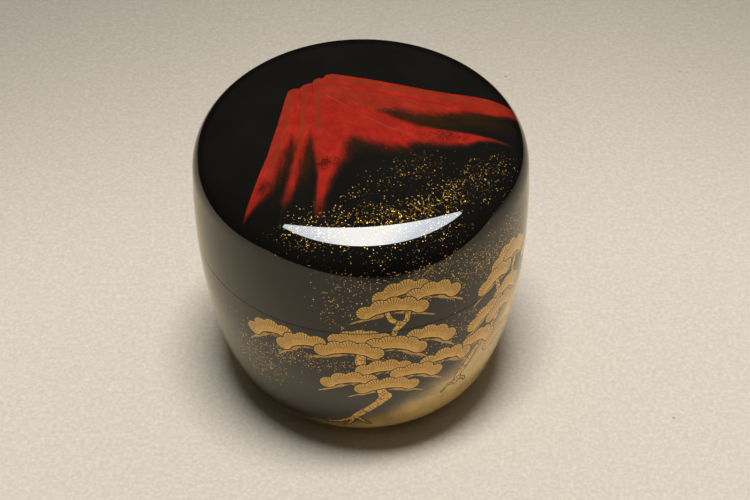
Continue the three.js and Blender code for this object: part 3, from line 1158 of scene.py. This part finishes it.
def paper_material(paper):
    """Pale rough paper, with painted shade darkening it towards the back and sides and a painted warm tint
    where the lacquer mirrors it. The lacquer mirrors only the sheet that it stands on, and darkness beyond
    it.
    """
    recipe = Recipe("Paper")
    mottle = recipe.lumps(2.6, 6.0, 0.7)
    fibre = recipe.lumps(0.7, 4.0, 0.8)
    grain = recipe.lumps(0.9, 3.0, 0.75)
    shade = recipe.mix(recipe.step(mottle, 0.3, 0.7), toned(paper, 0.97), toned(paper, 1.03))
    shade = recipe.mix(recipe.step(grain, 0.3, 0.65, 0.4, 0.0), shade, toned(paper, 0.7))
    shade = recipe.mix(recipe.step(grain, 0.5, 0.75, 0.0, 0.5), shade, toned(paper, 1.15))
    shade = recipe.mix(recipe.step(fibre, 0.25, 0.4, 0.3, 0.0), shade, toned(paper, 0.7))
    specks = recipe.cells(recipe.places(), 1 / (7.0 * MM))
    chance = recipe.channels(specks.outputs["Color"])
    size = recipe.scaled(chance[2], 0.03, 0.02)
    near = recipe.step(recipe.less(size, specks.outputs["Distance"]), -0.02, 0.02, 0.0, 0.6)
    near = recipe.times(near, recipe.maths("LESS_THAN", chance[0], 0.14))
    shade = recipe.mix(near, shade, toned(paper, 0.4, 0.3, 0.2))
    # Painted shade: the paper is darkened towards the back and off to the sides, standing in for light that
    # falls off away from the lamps.
    x, y, _ = recipe.parts(recipe.places())
    aside = recipe.maths("ABSOLUTE", recipe.less(x, 0.02))
    aside = recipe.maths("MAXIMUM", recipe.less(aside, 0.04), 0.0)
    behind = recipe.scaled(aside, 0.3, y)
    painted_falloff = recipe.step(behind, 0.02, 0.17, 0.0, 0.5)
    # Painted reflection: where the lacquer mirrors the paper, it is given a warmer tint than the camera sees
    # on it.
    mirrored = recipe.node("ShaderNodeLightPath").outputs["Is Glossy Ray"]
    warmer_painted_reflection = recipe.mix(mirrored, shade, toned(paper, 1.0, 0.94, 0.8))
    sheet = recipe.node("ShaderNodeBsdfDiffuse")
    recipe.feed(sheet.inputs["Color"], recipe.mix(painted_falloff, warmer_painted_reflection, (0.0, 0.0, 0.0)))
    near_edge = recipe.scaled(x, 0.28, -0.102)
    near_edge = recipe.maths("MINIMUM", recipe.maths("MAXIMUM", near_edge, -0.125), -0.079)
    front = recipe.step(recipe.less(y, near_edge), -0.006, 0.006)
    left = recipe.step(x, -0.185, -0.165)
    back = recipe.step(y, 0.12, 0.14, 1.0, 0.0)
    off_sheet = recipe.less(1.0, recipe.times(recipe.times(front, left), back))
    dark = recipe.node("ShaderNodeEmission")
    recipe.feed(dark.inputs["Color"], (0.0, 0.0, 0.0))
    either = recipe.node("ShaderNodeMixShader")
    recipe.feed(either.inputs[0], recipe.times(off_sheet, mirrored))
    recipe.tree.links.new(sheet.outputs[0], either.inputs[1])
    recipe.tree.links.new(dark.outputs[0], either.inputs[2])
    return recipe.surface(either)


def paper_floor(settings):
    bpy.ops.object.select_all(action="DESELECT")
    bpy.ops.mesh.primitive_circle_add(vertices=96, radius=4.0, fill_type="NGON", location=(0, 0, 0))
    floor = bpy.context.active_object
    floor.name = "Paper"
    floor.data.materials.append(paper_material(settings.paper))


def window_panel(settings):
    """A round panel overhead, cut off straight behind and at both ends, that only the lacquer sees."""
    height = CAD_BOUNDS[1][2] + 0.5
    middle = (0.05, -0.01, height)
    bpy.ops.object.select_all(action="DESELECT")
    bpy.ops.mesh.primitive_circle_add(vertices=96, radius=0.53, fill_type="NGON", location=middle)
    panel = bpy.context.active_object
    panel.name = "Window"
    bpy.ops.object.mode_set(mode="EDIT")
    cuts = (((0, -0.125), (-0.11, 1)), ((-0.341, -0.135), (-1, 1)), ((0.46, -0.048), (0.51, 1)))
    for (x, y), (across, back) in cuts:
        bpy.ops.mesh.select_all(action="SELECT")
        bpy.ops.mesh.bisect(plane_co=(x, y, height), plane_no=(across, back, 0), clear_outer=True)
    bpy.ops.object.mode_set(mode="OBJECT")
    recipe = Recipe("Window light")
    ahead = recipe.maths("ABSOLUTE", recipe.maths("ADD", recipe.parts(recipe.places())[0], 0.03))
    glow = recipe.node("ShaderNodeEmission")
    colour = recipe.mix(recipe.step(ahead, 0.05, 0.3), (1.0, 0.97, 0.94), (0.88, 0.94, 1.0))
    recipe.feed(glow.inputs["Color"], colour)
    strength = recipe.times(recipe.step(ahead, 0.05, 0.34, 1.4, 1.0), settings.window_strength)
    lit_paper = recipe.node("ShaderNodeLightPath").outputs["Diffuse Depth"]
    strength = recipe.times(strength, recipe.maths("LESS_THAN", lit_paper, 0.5))
    recipe.feed(glow.inputs["Strength"], strength)
    panel.data.materials.append(recipe.surface(glow))
    panel.visible_camera = False
    panel.visible_diffuse = False
    panel.visible_shadow = False


def soft_light(name, place, size, power, colour):
    """A soft oval light that looks at the caddy and doesn't show in the lacquer."""
    bpy.ops.object.select_all(action="DESELECT")
    bpy.ops.object.light_add(type="AREA", location=place)
    lamp = bpy.context.active_object
    lamp.name = name
    lamp.data.shape = "ELLIPSE"
    lamp.data.size, lamp.data.size_y = size
    lamp.data.energy = power
    lamp.data.color = colour
    lamp.rotation_euler = (Vector((0, 0, 0.03)) - Vector(place)).to_track_quat("-Z", "Y").to_euler()
    lamp.visible_glossy = False


def surroundings():
    """A dim room round the stage, pale where the camera looks past the paper."""
    world = bpy.context.scene.world or bpy.data.worlds.new("Room")
    bpy.context.scene.world = world
    world.use_nodes = True
    nodes, links = world.node_tree.nodes, world.node_tree.links
    nodes.clear()
    rooms = []
    tints = (((1.0, 0.86, 0.66, 1), 0.055), ((0.9, 0.95, 1.0, 1), 0.012), ((0.62, 0.55, 0.45, 1), 1.0))
    for colour, strength in tints:
        room = nodes.new("ShaderNodeBackground")
        room.inputs["Color"].default_value = colour
        room.inputs["Strength"].default_value = strength
        rooms.append(room.outputs[0])
    path = nodes.new("ShaderNodeLightPath")
    shown = rooms[0]
    for kind, room in (("Is Glossy Ray", rooms[1]), ("Is Camera Ray", rooms[2])):
        either = nodes.new("ShaderNodeMixShader")
        for place, output in enumerate((path.outputs[kind], shown, room)):
            links.new(output, either.inputs[place])
        shown = either.outputs[0]
    links.new(shown, nodes.new("ShaderNodeOutputWorld").inputs["Surface"])


def photo_camera(settings):
    """Looks down on the caddy from the front, as the photograph does."""
    elevation = settings.view_elevation
    target = Vector((0.00257, 0.0, 0.0275))
    back = Vector((0.0, -np.cos(elevation), np.sin(elevation)))
    camera = bpy.data.objects.new("Camera", bpy.data.cameras.new("Camera"))
    bpy.context.scene.collection.objects.link(camera)
    camera.data.sensor_width = 36.0
    camera.data.lens = settings.lens
    camera.location = target + back * settings.view_distance
    level = (-back).to_track_quat("-Z", "Y").to_matrix().to_4x4()
    tilt = Matrix.Rotation(-settings.camera_roll, 4, "Z")
    camera.rotation_euler = (level @ tilt).to_euler()
    bpy.context.scene.camera = camera


class StageOperator(bpy.types.Operator):
    """Lays the pale paper, hangs the lights and sets up the camera"""

    bl_idname = "tea_caddy.stage"
    bl_label = "Stage"

    def execute(self, context):
        settings = context.scene.tea_caddy_stage
        context.scene.view_settings.view_transform = "Standard"
        photo_camera(settings)
        paper_floor(settings)
        window_panel(settings)
        surroundings()
        soft_light("Key light", (0.02, -0.055, 1.5), (0.6, 0.25), settings.key_power, (1.0, 0.97, 0.92))
        soft_light("Broad light", (0.08, 0.1, 0.5), (0.8, 0.8), settings.broad_power, (1.0, 0.93, 0.8))
        return {"FINISHED"}


class CaddyPanel(bpy.types.Panel):
    """The caddy's settings, and what makes its pieces"""

    bl_idname = "VIEW3D_PT_tea_caddy"
    bl_label = "Tea Caddy"
    bl_space_type = "VIEW_3D"
    bl_region_type = "UI"
    bl_category = "Tea Caddy"

    def draw(self, context):
        for group in GROUPS:
            settings = getattr(context.scene, group)
            box = self.layout.box()
            for name in settings.__annotations__:
                box.prop(settings, name)
        for operator in OPERATORS:
            self.layout.operator(operator.bl_idname)


GROUPS = {"tea_caddy": CaddySettings, "tea_caddy_lacquer": LacquerSettings, "tea_caddy_stage": StageSettings}
OPERATORS = (StageOperator, BodyOperator, LidOperator)
CLASSES = (*GROUPS.values(), *OPERATORS, CaddyPanel)


def register():
    for made in CLASSES:
        bpy.utils.register_class(made)
    for name, group in GROUPS.items():
        setattr(bpy.types.Scene, name, bpy.props.PointerProperty(type=group))


def unregister():
    for name in GROUPS:
        delattr(bpy.types.Scene, name)
    for made in reversed(CLASSES):
        bpy.utils.unregister_class(made)


def main():
    register()
    bpy.ops.tea_caddy.stage()
    bpy.ops.tea_caddy.body()
    bpy.ops.tea_caddy.lid()


if __name__ == "__main__":
    main()
